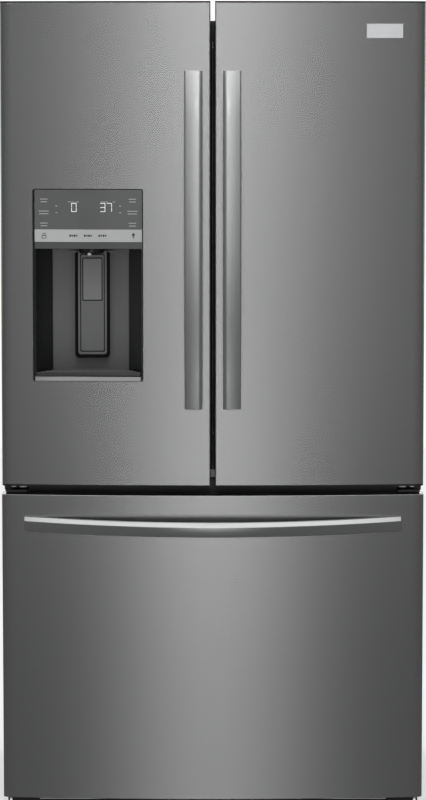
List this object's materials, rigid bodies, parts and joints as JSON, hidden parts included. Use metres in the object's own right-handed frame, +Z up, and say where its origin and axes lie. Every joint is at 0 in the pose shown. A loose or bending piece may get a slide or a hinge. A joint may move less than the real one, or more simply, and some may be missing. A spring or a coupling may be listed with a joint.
{
  "type": "french door refrigerator",
  "caption": "Free-standing refrigerator with paired upper doors, a water and ice dispenser in the left door, bowed bar handles and a bottom freezer drawer.",
  "frame": {"origin": "on the floor, at the bottom centre of the bounding box", "axes": "+Z up, -Y out of the front, +X to the right of a person facing the front"},
  "size_m": [0.908, 0.916, 1.778],
  "materials": {
    "black_steel": "black stainless steel, vertical brushed grain, semi-gloss",
    "handle_steel": "brushed black stainless steel bar, satin",
    "cabinet_paint": "textured dark grey paint",
    "zinc_steel": "zinc-plated steel sheet",
    "liner": "white thermoformed plastic",
    "black_plastic": "moulded black plastic, fine texture",
    "grey_plastic": "moulded dark grey plastic",
    "clear_plastic": "clear polystyrene",
    "control_glass": "smoked glossy control panel",
    "shelf_glass": "tempered glass",
    "gasket_rubber": "soft magnetic gasket",
    "foam": "insulating foam, hidden",
    "badge_metal": "satin blank plate",
    "compressor_paint": "black enamel"
  },
  "bodies": {
    "cabinet": {"cabinet_shell": "cabinet_paint", "back_panel": "zinc_steel", "cabinet_foam": "foam", "fresh_food_liner": "liner", "freezer_liner": "liner", "base_pan": "zinc_steel", "toe_grille": "black_plastic", "top_hinge_left": "zinc_steel", "top_hinge_right": "zinc_steel", "hinge_cover_left": "black_plastic", "hinge_cover_right": "black_plastic", "center_hinge_left": "zinc_steel", "center_hinge_right": "zinc_steel", "glass_shelf_left": "shelf_glass", "glass_shelf_right": "shelf_glass", "crisper_cover": "shelf_glass", "ice_maker_housing": "liner", "compressor": "compressor_paint", "fan_shroud": "black_plastic", "compressor_cover": "zinc_steel", "water_inlet_valve": "liner", "power_inlet": "black_plastic"},
    "left_door": {"left_door_skin": "black_steel", "left_door_inner_panel": "liner", "left_door_top_cap": "black_plastic", "left_door_bottom_cap": "black_plastic", "left_door_gasket": "gasket_rubber", "left_door_handle": "handle_steel", "left_door_bin": "clear_plastic", "dispenser_housing": "grey_plastic", "dispenser_panel": "control_glass"},
    "right_door": {"right_door_skin": "black_steel", "right_door_inner_panel": "liner", "right_door_top_cap": "black_plastic", "right_door_bottom_cap": "black_plastic", "right_door_gasket": "gasket_rubber", "right_door_handle": "handle_steel", "right_door_bin": "clear_plastic", "nameplate": "badge_metal", "dairy_box": "clear_plastic"},
    "freezer_drawer": {"drawer_skin": "black_steel", "drawer_inner_panel": "liner", "drawer_gasket": "gasket_rubber", "drawer_handle": "handle_steel", "drawer_frame": "zinc_steel", "lower_basket": "liner"},
    "upper_basket": {"upper_basket": "liner"},
    "slide_middle_left": {"slide_middle_left": "zinc_steel"},
    "slide_middle_right": {"slide_middle_right": "zinc_steel"},
    "mullion": {"mullion": "grey_plastic"},
    "dispenser_paddle": {"dispenser_paddle": "black_plastic"},
    "drip_tray": {"drip_tray": "grey_plastic"},
    "dairy_lid": {"dairy_lid": "clear_plastic"},
    "crisper_left": {"crisper_left": "clear_plastic"},
    "crisper_right": {"crisper_right": "clear_plastic"},
    "levelling_leg_left": {"levelling_leg_left": "black_plastic"},
    "levelling_leg_right": {"levelling_leg_right": "black_plastic"},
    "rear_roller_left": {"rear_roller_left": "grey_plastic"},
    "rear_roller_right": {"rear_roller_right": "grey_plastic"},
    "condenser_fan": {"condenser_fan": "grey_plastic"}
  },
  "joints": [
    {"name": "left_door_hinge", "type": "hinge", "parent": "cabinet", "child": "left_door", "pos_m": [-0.44, -0.33, 0], "axis": [0, 0, -1], "range_deg": [0, 120]},
    {"name": "right_door_hinge", "type": "hinge", "parent": "cabinet", "child": "right_door", "pos_m": [0.44, -0.33, 0], "axis": [0, 0, 1], "range_deg": [0, 120]},
    {"name": "freezer_drawer_slide", "type": "slide", "parent": "cabinet", "child": "freezer_drawer", "axis": [0, -1, 0], "range_m": [0, 0.44]},
    {"name": "slide_middle_left_slide", "type": "slide", "parent": "cabinet", "child": "slide_middle_left", "axis": [0, -1, 0], "range_m": [0, 0.22]},
    {"name": "slide_middle_right_slide", "type": "slide", "parent": "cabinet", "child": "slide_middle_right", "axis": [0, -1, 0], "range_m": [0, 0.22]},
    {"name": "upper_basket_slide", "type": "slide", "parent": "freezer_drawer", "child": "upper_basket", "axis": [0, 1, 0], "range_m": [0, 0.15]},
    {"name": "mullion_fold", "type": "hinge", "parent": "left_door", "child": "mullion", "pos_m": [-0.034, -0.271, 0], "axis": [0, 0, -1], "range_deg": [0, 90]},
    {"name": "dispenser_paddle_press", "type": "hinge", "parent": "left_door", "child": "dispenser_paddle", "pos_m": [-0.259, -0.3145, 1.2446], "axis": [1, 0, 0], "range_deg": [0, 3], "stiffness_Nm_per_rad": 2},
    {"name": "drip_tray_slide", "type": "slide", "parent": "left_door", "child": "drip_tray", "axis": [0, -1, 0], "range_m": [0, 0.06]},
    {"name": "dairy_lid_hinge", "type": "hinge", "parent": "right_door", "child": "dairy_lid", "pos_m": [0.224, -0.2945, 1.559], "axis": [1, 0, 0], "range_deg": [0, 85]},
    {"name": "crisper_left_slide", "type": "slide", "parent": "cabinet", "child": "crisper_left", "axis": [0, -1, 0], "range_m": [0, 0.09]},
    {"name": "crisper_right_slide", "type": "slide", "parent": "cabinet", "child": "crisper_right", "axis": [0, -1, 0], "range_m": [0, 0.09]},
    {"name": "levelling_leg_left_turn", "type": "hinge", "parent": "cabinet", "child": "levelling_leg_left", "pos_m": [-0.4, -0.245, 0], "axis": [0, 0, 1], "continuous": true},
    {"name": "rear_roller_left_roll", "type": "hinge", "parent": "cabinet", "child": "rear_roller_left", "pos_m": [-0.41, 0.4, 0.019], "axis": [1, 0, 0], "continuous": true},
    {"name": "levelling_leg_right_turn", "type": "hinge", "parent": "cabinet", "child": "levelling_leg_right", "pos_m": [0.4, -0.245, 0], "axis": [0, 0, 1], "continuous": true},
    {"name": "rear_roller_right_roll", "type": "hinge", "parent": "cabinet", "child": "rear_roller_right", "pos_m": [0.41, 0.4, 0.019], "axis": [1, 0, 0], "continuous": true},
    {"name": "condenser_fan_spin", "type": "hinge", "parent": "cabinet", "child": "condenser_fan", "pos_m": [-0.057, 0.345, 0.152], "axis": [1, 0, 0], "continuous": true}
  ],
  "couplings": [
    {"joint": "slide_middle_left_slide", "follows": "freezer_drawer_slide", "ratio": 0.5},
    {"joint": "slide_middle_right_slide", "follows": "freezer_drawer_slide", "ratio": 0.5}
  ]
}
